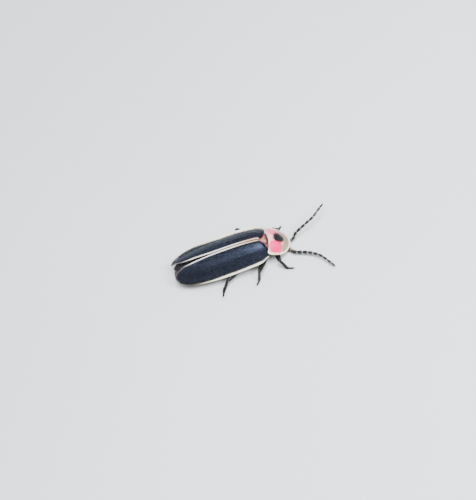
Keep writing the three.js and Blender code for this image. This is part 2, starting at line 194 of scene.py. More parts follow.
class Finish:
    """One surface finish. Sizes in its patterns are millimetres."""

    def __init__(self, name, **constants):
        self.material = bpy.data.materials.new(name)
        self.material.use_nodes = True
        self.tree = self.material.node_tree
        self.shader = self.tree.nodes["Principled BSDF"]
        for socket, value in constants.items():
            self.shader.inputs[socket.replace("_", " ")].default_value = value
        self.place = self.tree.nodes.new("ShaderNodeTexCoord").outputs["Object"]

    def node(self, kind, output, values, **settings):
        made = self.tree.nodes.new(kind)
        for key, value in settings.items():
            setattr(made, key, value)
        for key, value in values.items():
            if isinstance(value, bpy.types.NodeSocket):
                self.tree.links.new(value, made.inputs[key])
            elif value is not None:
                made.inputs[key].default_value = value
        return made.outputs[output]

    def sum(self, operation, a, b=None, c=None):
        values = {i: v for i, v in enumerate((a, b, c)) if v is not None}
        return self.node("ShaderNodeMath", 0, values, operation=operation)

    def attribute(self, name, output="Fac"):
        return self.node("ShaderNodeAttribute", output, {}, attribute_name=name)

    def split(self, vector):
        made = self.tree.nodes.new("ShaderNodeSeparateXYZ")
        self.tree.links.new(vector, made.inputs[0])
        return made.outputs

    def stretched(self, x, y, z):
        return self.node("ShaderNodeMapping", 0, {"Vector": self.place, "Scale": (x, y, z)})

    def cloud(self, size, detail=3.0, place=None):
        """Soft patches of about the given size."""
        values = {
            "Vector": place or self.place, "Scale": 1 / (size * MM), "Detail": detail, "Roughness": 0.55,
        }
        return self.node("ShaderNodeTexNoise", 0, values)

    def pits(self, size):
        """Round cells of about the given size: 0 in the middle of each, rising outwards."""
        values = {"Vector": self.place, "Scale": 1 / (size * MM)}
        return self.node("ShaderNodeTexVoronoi", "Distance", values)

    def step(self, value, low, high, start=0.0, end=1.0):
        """A soft step from start to end as the value passes from low to high."""
        values = {"Value": value, 1: low, 2: high, 3: start, 4: end}
        return self.node("ShaderNodeMapRange", 0, values, interpolation_type="SMOOTHSTEP")

    def mix(self, share, a, b):
        """Two colours mixed, each a socket or a red, green and blue as they look on screen."""
        a, b = (paint(*colour) if isinstance(colour, tuple) else colour for colour in (a, b))
        return self.node("ShaderNodeMix", 2, {0: share, 6: a, 7: b}, data_type="RGBA")

    def mottled(self, size, low, high, detail=3.0):
        """Two colours in patches of about the given size."""
        return self.mix(self.step(self.cloud(size, detail), 0.35, 0.65), low, high)

    def done(self, colour, gloss, *relief):
        """Closes a finish. Its roughness wanders: (patch size, low, high, detail of the patches).
        Its relief is (height, depth in millimetres) pairs, coarse to fine."""
        size, low, high, detail = gloss
        normal = None
        for height, depth in relief:
            values = {"Height": height, "Distance": depth * MM, "Strength": 1.0, "Normal": normal}
            normal = self.node("ShaderNodeBump", 0, values)
        self.tree.links.new(colour, self.shader.inputs["Base Color"])
        roughness = self.step(self.cloud(size, detail), 0.3, 0.7, low, high)
        self.tree.links.new(roughness, self.shader.inputs["Roughness"])
        if normal:
            self.tree.links.new(normal, self.shader.inputs["Normal"])
        return self.material


def wing_case_finish():
    """Velvety charcoal, with a cream outer margin and a seam margin that is tan in front."""
    f = Finish(
        "velvet_wing_case", Specular_IOR_Level=0.46, Specular_Tint=paint(186, 202, 250),
        Sheen_Weight=0.06, Sheen_Roughness=0.3, Sheen_Tint=paint(150, 175, 235),
    )
    rim, seam, base = f.attribute("rim"), f.attribute("seam"), f.attribute("base")
    grain = f.cloud(0.05, 2.0)
    streak = f.cloud(0.16, 3.0, f.stretched(0.16, 1, 1))
    colour = f.mottled(0.9, (6, 7, 9), (10, 11, 15))
    colour = f.mix(f.step(streak, 0.45, 0.75, 0, 0.35), colour, (21, 23, 31))
    colour = f.mix(f.step(grain, 0.5, 0.8, 0, 0.3), colour, (34, 37, 49))

    wander = f.sum("MULTIPLY_ADD", f.cloud(0.5), 0.12, -0.06)
    frayed = f.sum("MULTIPLY_ADD", f.cloud(0.06), 0.09, -0.045)
    width = f.sum("MULTIPLY", f.step(base, 5.2, 9.4, 0.22, -0.04), f.step(base, 0.2, 1.6, 0.45, 1.0))
    past_rim = f.sum("SUBTRACT", f.sum("ADD", f.sum("ADD", rim, wander), frayed), width)
    past_seam = f.sum("ADD", seam, frayed)
    cream = f.mix(f.cloud(0.3), (238, 230, 202), (252, 248, 232))
    cream = f.mix(f.step(past_rim, -0.16, 0.0), cream, (206, 198, 160))
    cream = f.mix(f.step(base, 8.0, 9.8), cream, (112, 112, 108))
    tan = f.mix(f.step(base, 1.0, 4.2, 1, 0), (248, 242, 226), (226, 176, 138))
    tan = f.mix(f.step(base, 8.2, 9.8), tan, (120, 118, 114))
    colour = f.mix(f.step(past_rim, 0.0, 0.2, 0.4, 0), colour, (66, 62, 56))
    colour = f.mix(f.step(past_seam, 0.18, 0.3, 0.35, 0), colour, (70, 60, 56))
    colour = f.mix(f.step(past_rim, -0.08, 0.05, 1, 0), colour, cream)
    narrowed = f.sum("ADD", past_seam, f.step(base, 8.0, 9.8, 0, 0.08))
    colour = f.mix(f.step(narrowed, 0.11, 0.17, 1, 0), colour, tan)
    # Painted shade: a near-black line along the seam edge darkens the gap between the two cases.
    colour = f.mix(f.step(seam, 0.015, 0.045, 1, 0), colour, (10, 9, 9))
    granules = f.step(f.pits(0.055), 0.05, 0.55, 1, 0)
    return f.done(
        colour, (0.12, 0.25, 0.38, 4.0), (f.cloud(0.35, 2.0), 0.03), (granules, 0.009), (grain, 0.006),
    )


def shield_finish():
    """The shield's markings: a black spot between two rose patches, a smoky window behind a pale rim. The
    left patch is painted paler as painted light.
    """
    f = Finish(
        "rose_shield", Specular_IOR_Level=0.34, Subsurface_Weight=0.14,
        Subsurface_Radius=(1.0, 0.45, 0.35), Subsurface_Scale=0.12 * MM,
    )
    p, q, share = f.split(f.attribute("shield", "Vector"))[0:3]
    wobble = f.sum("MULTIPLY_ADD", f.cloud(0.35, 4.0), 0.5, -0.25)

    def spot(centre, half, power, soft, ragged=1.0):
        """A rounded patch by its half length and half width: 1 inside, 0 outside."""
        terms = []
        for place, middle, size in zip((p, q), centre, half):
            scaled = f.sum("DIVIDE", f.sum("SUBTRACT", place, middle), size)
            terms.append(f.sum("POWER", f.sum("ABSOLUTE", scaled), power))
        reach = f.sum("POWER", f.sum("ADD", *terms), 1 / power)
        reach = f.sum("ADD", reach, f.sum("MULTIPLY", wobble, ragged))
        return f.step(reach, 1 - soft, 1 + soft, 1, 0)

    ground = f.mix(f.cloud(0.5, 5.0), (248, 214, 196), (240, 190, 180))
    ground = f.mix(f.step(f.sum("ABSOLUTE", q), 1.1, 1.7), ground, (242, 228, 208))
    ground = f.mix(f.step(p, 0.1, 0.7, 0.75, 0), ground, (238, 196, 176))
    colour = f.mix(spot((0.85, 0.0), (0.95, 1.35), 3.0, 0.3, 0.8), ground, (246, 172, 176))
    rose = f.mix(f.cloud(0.22, 4.0), (226, 4, 84), (242, 38, 120))
    colour = f.mix(spot((0.84, -0.94), (0.76, 0.56), 3.6, 0.16, 0.6), colour, rose)
    # Painted light: the left rose patch is painted paler than the right one, standing in for the light on
    # that side.
    painted_light_rose = f.mix(f.cloud(0.22, 4.0), (238, 84, 116), (248, 130, 150))
    colour = f.mix(spot((0.86, 0.9), (0.78, 0.56), 3.0, 0.26, 0.8), colour, painted_light_rose)
    window = f.sum("MULTIPLY", f.step(share, 0.42, 0.62), f.step(share, 0.87, 0.95, 1, 0))
    window = f.sum("MULTIPLY", window, f.step(p, 1.42, 1.78))
    smoke = f.mix(f.cloud(0.25, 4.0), (92, 82, 60), (168, 156, 128))
    colour = f.mix(window, colour, smoke)
    rim = f.sum("MULTIPLY", f.step(share, 0.93, 0.975), f.step(p, -0.1, 0.5))
    colour = f.mix(rim, colour, (244, 238, 220))
    shadow = f.sum("MULTIPLY", spot((1.3, 0.04), (0.74, 0.64), 2.2, 0.3), 0.75)
    colour = f.mix(shadow, colour, (84, 30, 36))
    colour = f.mix(spot((SPOT_PLACE, 0.05), (0.6, 0.53), 2.4, 0.14), colour, (9, 6, 8))
    # Painted shade: the middle of each dimple, in the same cells as the dimple relief below, is painted
    # darker brown.
    colour = f.mix(f.step(f.pits(0.12), 0.0, 0.22, 0.35, 0), colour, (150, 96, 84))
    dimples = f.step(f.pits(0.12), 0.0, 0.35)
    return f.done(
        colour, (0.15, 0.36, 0.52, 4.0), (f.cloud(0.4), 0.03), (dimples, 0.014), (f.cloud(0.04, 2.0), 0.004),
    )


def cuticle_finish(name, low, high, worn, pale=None, pit=0.09, depth=0.01, gloss=(0.24, 0.42), specular=0.5):
    """Hard cuticle: mottled, pitted, worn, and pale where the piece's 'border' attribute is high."""
    f = Finish(name, Specular_IOR_Level=specular)
    colour = f.mottled(0.55, low, high, 4.0)
    colour = f.mix(f.step(f.cloud(0.09, 3.0), 0.56, 0.8, 0, 0.6), colour, worn)
    if pale:
        colour = f.mix(f.attribute("border"), colour, pale)
    dimples = f.step(f.pits(pit), 0.0, 0.35)
    return f.done(
        colour, (0.12, *gloss, 4.0), (f.cloud(0.3), 0.016), (dimples, depth), (f.cloud(0.03, 2.0), 0.003),
    )


def membrane_finish():
    f = Finish("smoky_membrane", Specular_IOR_Level=0.6, Coat_Weight=0.3, Coat_Roughness=0.2)
    colour = f.mottled(0.5, (20, 19, 23), (38, 36, 42), 4.0)
    colour = f.mix(f.attribute("vein"), colour, (24, 15, 12))
    folds = f.cloud(0.16, 3.0, f.stretched(0.3, 1, 1))
    return f.done(colour, (0.2, 0.22, 0.38, 3.0), (folds, 0.02), (f.pits(0.04), 0.004))


def eye_finish():
    f = Finish("glossy_eye", Specular_IOR_Level=0.7, Coat_Weight=0.8, Coat_Roughness=0.08)
    colour = f.mix(f.step(f.cloud(0.5), 0.4, 0.6), (12, 10, 11), (34, 24, 20))
    return f.done(colour, (0.1, 0.12, 0.22, 3.0), (f.cloud(0.02, 1.0), 0.001))


def lantern_finish():
    f = Finish(
        "waxy_lantern", Specular_IOR_Level=0.45, Coat_Weight=0.15, Coat_Roughness=0.25,
        Subsurface_Weight=0.3, Subsurface_Radius=(0.9, 0.8, 0.4), Subsurface_Scale=0.15 * MM,
    )
    colour = f.mix(f.cloud(0.3, 5.0), (238, 232, 176), (250, 246, 214))
    colour = f.mix(f.step(f.pits(0.16), 0.0, 0.3, 0.4, 0), colour, (206, 196, 128))
    dimples = f.step(f.pits(0.1), 0.0, 0.35)
    return f.done(colour, (0.15, 0.3, 0.5, 3.0), (f.cloud(0.25), 0.02), (dimples, 0.008))


def hair_finish(name, low, high):
    f = Finish(name, Specular_IOR_Level=0.5)
    return f.done(f.mottled(0.35, low, high), (0.2, 0.34, 0.5, 3.0), (f.cloud(0.05), 0.002))


def floor_finish():
    f = Finish("pale_floor", Specular_IOR_Level=0.2)
    colour = f.mix(f.cloud(30.0, 2.0), (214, 216, 214), (221, 223, 221))
    return f.done(colour, (8.0, 0.75, 0.85, 3.0))


SPOT_PLACE = 1.26

WING_CASE = wing_case_finish()
SHIELD = shield_finish()
RUSSET = cuticle_finish("russet_plates", (78, 24, 28), (150, 72, 76), (218, 158, 156), gloss=(0.3, 0.46))
BROWN = cuticle_finish("brown_cuticle", (38, 30, 24), (62, 49, 38), (104, 84, 64))
SEGMENT = cuticle_finish("ringed_segments", (22, 18, 16), (38, 31, 26), (72, 60, 48), pale=(178, 158, 126))
BLACK = cuticle_finish("black_cuticle", (13, 12, 13), (26, 23, 22), (60, 52, 48), pit=0.05, depth=0.006)
LIMB = cuticle_finish(
    "limb_cuticle", (5, 4, 4), (11, 9, 8), (32, 27, 23), pale=(54, 43, 32),
    pit=0.05, depth=0.006, gloss=(0.3, 0.48), specular=0.3,
)
JOINT = cuticle_finish(
    "pale_joints", (150, 134, 108), (190, 172, 140), (214, 200, 170), pit=0.03, depth=0.002,
)
MEMBRANE = membrane_finish()
EYE = eye_finish()
LANTERN = lantern_finish()
SLATE_HAIR = hair_finish("slate_hair", (20, 22, 29), (52, 57, 75))
GOLD_HAIR = hair_finish("gold_hair", (170, 148, 108), (222, 204, 164))
DARK_HAIR = hair_finish("dark_hair", (16, 14, 13), (44, 38, 32))
FLOOR = floor_finish()


class Skin:
    """A mesh under construction, which keeps the u and v of its own unwrap with each vertex."""

    def __init__(self, *extra):
        self.bm = bmesh.new()
        for name in ("u", "v", *extra):
            self.bm.verts.layers.float.new(name)

    def layer(self, name):
        return self.bm.verts.layers.float[name]

    def round_form(self, sides, rings, place, strip=(0, 0, 1, 1), finish=0):
        """A closed round form: place(share of length, cosine, sine) puts each vertex, poles at the ends."""
        start = len(self.bm.faces)
        made = bmesh.ops.create_uvsphere(self.bm, u_segments=sides, v_segments=rings, radius=1)["verts"]
        u, v = self.layer("u"), self.layer("v")
        for vert in made:
            share = math.acos(clamp(vert.co.z, -1, 1)) / math.pi
            pole = math.hypot(vert.co.x, vert.co.y) < 1e-5
            angle = math.atan2(vert.co.y, vert.co.x)
            vert[u] = lerp(strip[0], strip[2], share)
            vert[v] = lerp(strip[1], strip[3], angle / math.tau + 0.5)
            vert.co = place(share, 0 if pole else math.cos(angle), 0 if pole else math.sin(angle))
        self.bm.faces.ensure_lookup_table()
        for face in self.bm.faces[start:]:
            face.material_index = finish
        return made

    def limb(self, path, size, sides=14, rings=16, blunt=0.9, strip=(0, 0, 1, 1), finish=0, border=None):
        """A limb section round a path, by its half width and half height, with rounded ends."""
        def place(share, cosine, sine):
            t = lerp(share, (1 - math.cos(math.pi * share)) / 2, 0.6)
            width, height = size(t)
            near = clamp(min(t, 1 - t) * path.length / (blunt * max(width, 0.01)))
            rounding = math.sqrt(1 - (1 - near) ** 2)
            centre, side, over, along = path.at(t)
            return centre + side * (cosine * width * rounding) + over * (sine * height * rounding)

        made = self.round_form(sides, rings, place, strip, finish)
        if border:
            ring = self.layer("border")
            for vert in made:
                vert[ring] = border((vert[self.layer("u")] - strip[0]) / (strip[2] - strip[0]))
        return made

    def sheet(self, rows, columns, place, thickness, strip=(0, 0, 1, 1)):
        """A plate from a grid: place(u, v) gives its outer face, which is extruded down by its thickness."""
        start = len(self.bm.faces)
        made = bmesh.ops.create_grid(self.bm, x_segments=rows, y_segments=columns, size=1)["verts"]
        u, v = self.layer("u"), self.layer("v")
        for vert in made:
            along, across = (vert.co.x + 1) / 2, (vert.co.y + 1) / 2
            vert[u], vert[v] = lerp(strip[0], strip[2], along), lerp(strip[1], strip[3], across)
            vert.co = place(along, across)
        self.bm.faces.ensure_lookup_table()
        lower = bmesh.ops.extrude_face_region(self.bm, geom=self.bm.faces[start:])["geom"]
        for vert in lower:
            if isinstance(vert, bmesh.types.BMVert):
                vert.co.z -= thickness
        return made

    def face_out(self):
        bmesh.ops.recalc_face_normals(self.bm, faces=self.bm.faces[:])
        self.bm.normal_update()
        return self


def piece(name, skin, finishes, nodes, slot, sharp=55):
    """Closes a skin as one object in metres, which rides with the model and takes its nodes' place."""
    bm = skin.face_out().bm
    for edge in bm.edges:
        edge.smooth = not (len(edge.link_faces) == 2 and edge.calc_face_angle() > math.radians(sharp))
    bmesh.ops.translate(bm, verts=bm.verts[:], vec=ORIGIN)
    bmesh.ops.scale(bm, verts=bm.verts[:], vec=(MM, MM, MM))
    mesh = bpy.data.meshes.new(name)
    bm.to_mesh(mesh)
    bm.free()
    return enter(name, mesh, finishes, nodes, slot)


def enter(name, mesh, finishes, nodes, slot):
    made = bpy.data.objects.new(name, mesh)
    bpy.context.scene.collection.objects.link(made)
    for finish in finishes:
        mesh.materials.append(finish)
    for polygon in mesh.polygons:
        polygon.use_smooth = True
    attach(made, "root")
    if nodes:
        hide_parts(*nodes)
    return made


# Hair: one bent spine of few faces, repeated over a skin and joined in one mesh.

Down = namedtuple("Down", "count length girth rise")
WING_DOWN = Down(7000, 0.18, 0.0062, 0.22)
MARGIN_DOWN = Down(900, 0.12, 0.005, 0.3)
SHIELD_DOWN = Down(900, 0.09, 0.0042, 0.5)
SHIELD_FRINGE = Down(900, 0.13, 0.0055, 0.1)
SCUTELLUM_DOWN = Down(260, 0.12, 0.005, 0.35)
BREAST_DOWN = Down(700, 0.15, 0.0055, 0.35)
RING_DOWN = Down(520, 0.17, 0.0055, 0.25)
FACE_DOWN = Down(700, 0.12, 0.005, 0.5)
FEELER_DOWN = Down(1900, 0.085, 0.0048, 0.5)
LEG_DOWN = Down(620, 0.13, 0.0055, 0.5)
FOOT_DOWN = Down(300, 0.08, 0.005, 0.6)
HAIR_SWAY = 0.16
HAIR_SINK = 0.012
UV_PATCH = 0.003
UV_MARGIN = 0.005


def hair_shape():
    bm = bmesh.new()
    bmesh.ops.create_cone(bm, cap_ends=True, segments=3, radius1=1, radius2=0, depth=1)
    bmesh.ops.translate(bm, verts=bm.verts[:], vec=(0, 0, 0.5))
    everything = bm.verts[:] + bm.edges[:] + bm.faces[:]
    bmesh.ops.bisect_plane(bm, geom=everything, plane_co=(0, 0, 0.5), plane_no=(0, 0, 1))
    bmesh.ops.recalc_face_normals(bm, faces=bm.faces[:])
    bm.verts.index_update()
    verts = np.array([vert.co[:] for vert in bm.verts])
    faces = [[vert.index for vert in face.verts] for face in bm.faces]
    bm.free()
    middle = (verts[:, 2] > 0.25) & (verts[:, 2] < 0.75)
    verts[middle, :2] *= 1.5
    return verts, faces


HAIR_VERTS, HAIR_FACES = hair_shape()


def rooted(skin, down, seed, lie, wanted=None):
    """Draws the roots of a down evenly over a skin. lie(place, normal) gives the way that a hair points."""
    draw = random.Random(seed)
    faces = [f for f in skin.bm.faces if wanted is None or wanted(f)]
    sums = np.cumsum([f.calc_area() for f in faces])
    u, v = skin.layer("u"), skin.layer("v")
    made = []
    for _ in range(down.count):
        face = faces[min(int(np.searchsorted(sums, draw.random() * sums[-1])), len(faces) - 1)]
        weights = [draw.random() for _ in face.verts]
        total = sum(weights)
        place = sum((vert.co * w for vert, w in zip(face.verts, weights)), Vector()) / total
        normal = sum((vert.normal * w for vert, w in zip(face.verts, weights)), Vector()).normalized()
        way = lie(place, normal) + Vector((draw.gauss(0, 1), draw.gauss(0, 1), draw.gauss(0, 1))) * HAIR_SWAY
        way = (way - normal * way.dot(normal)).normalized()
        size = down.length * draw.uniform(0.7, 1.2)
        rise = down.rise * draw.uniform(0.6, 1.4)
        made.append((place, normal, way, size, down.girth, rise, face.verts[0][u], face.verts[0][v]))
    return made


def coat(name, roots, finish, slot):
    """All hairs of one coat as a mesh, each with its own small patch at its root's place on the unwrap."""
    place, normal, way = (np.array([root[i][:] for root in roots]) for i in range(3))
    size, girth, rise, u, v = (np.array([(root[i],) for root in roots]) for i in range(3, 8))
    side = np.cross(normal, way)
    z = HAIR_VERTS[:, 2]
    lift = rise * (z * 1.25 - z * z * 0.55)[None, :] * size
    verts = (
        (place - normal * HAIR_SINK)[:, None, :]
        + way[:, None, :] * (z[None, :, None] * size[:, :, None])
        + normal[:, None, :] * (lift[:, :, None] + HAIR_VERTS[None, :, 1:2] * girth[:, :, None])
        + side[:, None, :] * (HAIR_VERTS[None, :, 0:1] * girth[:, :, None])
    )
    verts = (verts.reshape(-1, 3) + np.array(ORIGIN[:])) * MM
    number, corners = len(roots), len(HAIR_VERTS)
    order = np.concatenate([np.array(face) for face in HAIR_FACES])
    loops = (order[None, :] + corners * np.arange(number)[:, None]).ravel()
    sizes = np.tile([len(face) for face in HAIR_FACES], number)
    starts = np.concatenate([[0], np.cumsum(sizes)[:-1]])
    mesh = bpy.data.meshes.new(name)
    mesh.vertices.add(len(verts))
    mesh.vertices.foreach_set("co", verts.ravel())
    mesh.loops.add(len(loops))
    mesh.loops.foreach_set("vertex_index", loops.astype(np.int32))
    mesh.polygons.add(len(sizes))
    mesh.polygons.foreach_set("loop_start", starts.astype(np.int32))
    around = np.arctan2(HAIR_VERTS[:, 1], HAIR_VERTS[:, 0]) / math.tau
    offsets = np.stack([z - 0.5, around], axis=1) * UV_PATCH
    roots_uv = np.concatenate([u, v], axis=1) * (1 - 2 * UV_MARGIN) + UV_MARGIN
    spread = (roots_uv[:, None, :] + offsets[order][None, :, :]).reshape(-1, 2)
    mesh.uv_layers.new(name="OFBake")
    mesh.uv_layers["OFBake"].data.foreach_set("uv", spread.ravel())
    mesh.update(calc_edges=True)
    return enter(name, mesh, [finish], (), slot)


def backwards(place, normal):
    return Vector((-1, 0, 0))


# Wing cases, by the same forms as the solids, with ribs, beads and a fine unevenness.

CASE_FRONT = -0.02
CASE_TIP = -10.7
CASE_ROUNDING = 1.6
CASE_THICK = 0.11
WING_THICK = 0.05
ridge = through((-10.9, 2.35), (-9, 2.88), (-6.3, 3.28), (-3, 3.5), (-1.2, 3.4), (0, 3.02))
reach = through((-10.8, 1.58), (-9.2, 2.1), (-7, 2.42), (-4.8, 2.49), (-2.4, 2.4), (-0.9, 2.2), (0, 1.7))
parting = through((-10.8, 0.36), (-9, 0.22), (-7.4, 0.13), (-5.8, 0.06), (-3, 0.05), (0, 0.05))


def case_top(x, y):
    share = abs(y) / reach(x)
    flange = 0.87
    curve = 0.93 * clamp(share / flange) ** 2.4
    edge = 0.07 * clamp((share - flange) / (1 - flange))
    drop = 1.6 * (reach(x) / 2.49) ** 1.2
    return ridge(x) - drop * (curve + edge) - 0.07 * math.exp(-((share / 0.1) ** 2))


def case_under(x, y):
    return case_top(x, y) - lerp(0.45, 0.32, clamp(abs(y) / reach(x)) ** 4)


def case_x(u):
    straight = 0.72
    bend = CASE_TIP + CASE_ROUNDING
    if u < straight:
        return lerp(CASE_FRONT, bend, u / straight)
    return bend - CASE_ROUNDING * math.sin(((u - straight) / (1 - straight)) * 0.49 * math.pi)


def case_plan(u, v):
    """A place on the plan of a wing case: u from base to tip, v from seam to outer edge."""
    x = case_x(u)
    bend = CASE_TIP + CASE_ROUNDING
    rounding = 1 if x > bend else math.sqrt(max(0, 1 - ((bend - x) / CASE_ROUNDING) ** 2))
    middle = (parting(x) + reach(x)) / 2
    half = (reach(x) - parting(x)) / 2 * rounding
    set_back = 0.72 * (1 - v) ** 3 + 0.2 * v**6
    return x - set_back * math.exp((x - CASE_FRONT) / 1.3), lerp(middle - half, middle + half, v), half


CaseForm = namedtuple("CaseForm", "edge_rise edge_spread tip_back tip_in rim_scale")
CASE_FORMS = {
    "left": CaseForm(edge_rise=0.12, edge_spread=0.11, tip_back=0.26, tip_in=0.24, rim_scale=0.66),
    "right": CaseForm(edge_rise=0.09, edge_spread=0, tip_back=0, tip_in=0, rim_scale=1),
}
RIB_PLACES = (0.3, 0.53, 0.74)
UNDER_RIM, UNDER_SEAM = 0.25, 0.4


def wing_case(name, side):
    """A wing case with ribs, a beaded seam and a turned-up edge, and the distances that its finish reads."""
    form = CASE_FORMS[name]
    skin = Skin("rim", "seam", "base")

    def place(u, v):
        v = lerp(v, (1 - math.cos(math.pi * v)) / 2, 0.45)
        x, y, half = case_plan(u, v)
        outer, inner = (1 - v) * 2 * half, v * 2 * half
        steady = smooth(u, 0.03, 0.12) * (1 - smooth(u, 0.8, 0.97))
        ribs = sum(0.02 * hump(v, centre, 0.035) for centre in RIB_PLACES) * steady
        edge = 0.02 * hump(outer, 0.03, 0.04) + form.edge_rise * (1 - smooth(outer, 0, 0.34))
        bead = 0.03 * hump(inner, 0.06, 0.07) * (1 - smooth(u, 0.9, 1))
        groove = 0.015 * hump(outer, 0.4, 0.08) * smooth(u, 0.02, 0.1) + 0.016 * hump(inner, 0.2, 0.07)
        uneven = 0.012 * rough(x, y * side, 0, 0.7) + 0.006 * rough(x, y * side, 4, 0.2)
        lip = 0.18 * hump(CASE_FRONT - case_x(u), 0, 0.16)
        z = case_top(x, y) + ribs + edge + bead - groove + uneven - lip
        x -= form.tip_back * smooth(u, 0.6, 1)
        y += form.edge_spread * v**6 * (1 - smooth(u, 0.86, 1)) - form.tip_in * smooth(u, 0.86, 1)
        return Vector((x, y * side, z))

    upper = skin.sheet(170, 84, place, CASE_THICK)
    bm, u, v = skin.bm, skin.layer("u"), skin.layer("v")
    rim, seam, base = (skin.layer(layer) for layer in ("rim", "seam", "base"))
    bm.verts.index_update()
    edges = (
        (rim, [vert for vert in bm.verts if vert[v] > 0.999 or vert[u] > 0.999]),
        (seam, [vert for vert in bm.verts if vert[v] < 0.001]),
    )
    for layer, line in edges:
        tree = kdtree.KDTree(len(line))
        for i, vert in enumerate(line):
            tree.insert(vert.co, i)
        tree.balance()
        for vert in bm.verts:
            vert[layer] = tree.find(vert.co)[2]
    on_top = {vert.index for vert in upper}
    for vert in bm.verts:
        vert[base] = -vert.co.x
        vert[rim] *= form.rim_scale
        if vert.index not in on_top:
            vert[rim] += UNDER_RIM
            vert[seam] += UNDER_SEAM
    skin.face_out()
    roots = rooted(
        skin, WING_DOWN, 11 + side, lambda p, n: Vector((-1, 0.12 * side, 0)),
        lambda f: f.normal.z > 0.1 and f.verts[0][rim] > 0.22 and f.verts[0][seam] > 0.14,
    )
    pale = rooted(
        skin, MARGIN_DOWN, 15 + side, lambda p, n: Vector((-1, 0.3 * side, 0)),
        lambda f: f.normal.z > 0.1 and (f.verts[0][rim] < 0.2 or f.verts[0][seam] < 0.12),
    )
    piece(f"wing_case_{name}", skin, [WING_CASE], [f"elytron_{name}"], "charcoal_wing_case")
    coat(f"wing_case_down_{name}", roots, SLATE_HAIR, "charcoal_wing_case")
    coat(f"margin_down_{name}", pale, GOLD_HAIR, "charcoal_wing_case")


def folded_wing(name, side):
    """A smoky hind wing folded flat under its case, its veins raised in its own surface."""
    skin = Skin("vein")
    veins = (0.1, 0.26, 0.42, 0.58, 0.74, 0.9)
    tip, front, inner, outer = -10.8, -1.3, 0.07, 1.4

    def across_veins(u, v):
        wander = 0.02 * math.sin(u * 9)
        return max(hump(v, centre + wander, 0.014) for centre in veins)

    def place(u, v):
        x = lerp(tip, front, u)
        narrowed = math.sqrt(1 - (1 - clamp(u / 0.16, 0.004, 1)) ** 2)
        y = lerp(inner + 0.25 * (1 - narrowed), lerp(0.6, outer, narrowed), v)
        folds = 0.03 * math.sin(v * 19 + u * 3) + 0.012 * rough(x, y, side, 0.3)
        top = case_under(max(x, CASE_TIP + 0.1), y) - 0.16
        return Vector((x, y * side, top + folds + 0.035 * across_veins(u, v)))

    def lower_fold(u, v):
        return place(u, lerp(0.05, 0.95, v)) - Vector((0, 0, 0.14 + 0.04 * math.sin(v * 11)))

    skin.sheet(120, 72, place, WING_THICK)
    for vert in skin.bm.verts:
        vert[skin.layer("vein")] = across_veins(vert[skin.layer("u")], vert[skin.layer("v")])
    skin.sheet(60, 16, lower_fold, WING_THICK)
    piece(f"wing_membrane_{name}", skin, [MEMBRANE], [f"hind_wing_{name}"], "smoky_wing")


# Shield and the plates round its base.

PITCH = math.radians(34)
SHIELD_LENGTH = 2.76
SHIELD_CENTRE = 1.2
SHIELD_HALF_WIDTH = 1.62
CORNER_HEIGHT = 2.6


def on_shield(p, q, h):
    """A place on the shield: p forwards, q to the left and h out of its own tilted plane."""
    return Vector((
        p * math.cos(PITCH) + h * math.sin(PITCH),
        q,
        CORNER_HEIGHT - p * math.sin(PITCH) + h * math.cos(PITCH),
    ))


def shield_reach(cosine, sine):
    length = SHIELD_LENGTH - SHIELD_CENTRE if cosine > 0 else SHIELD_CENTRE
    power = 1.8 if cosine > 0 else 12
    return max(1e-9, abs(cosine / length) ** power + abs(sine / SHIELD_HALF_WIDTH) ** power) ** (-1 / power)


def shield_flare(p):
    return 1 + 0.1 * clamp(1 - p / SHIELD_CENTRE)


shield_droop = through((0, 0), (0.4, 0.15), (1.2, 0.29), (1.8, 0.35), (2.3, 0.3), (2.76, 0.15))


def shield_share(p, q):
    """The share of the way from the shield's centre to its outline."""
    run, span = p - SHIELD_CENTRE, q / shield_flare(p)
    radius = max(math.hypot(run, span), 1e-6)
    return radius / shield_reach(run / radius, span / radius)


def shield_top(p, q):
    ahead = max(0, p - 0.75) / 1.55
    spread = max(0, 1 - ahead**2 - (q / 1.5) ** 2)
    droop = shield_droop(p) * min(1, shield_share(p, q)) ** 2.5
    return 0.56 * spread**1.15 - 0.07 * hump(q, 0, 0.13) * clamp(1.6 - p) - droop


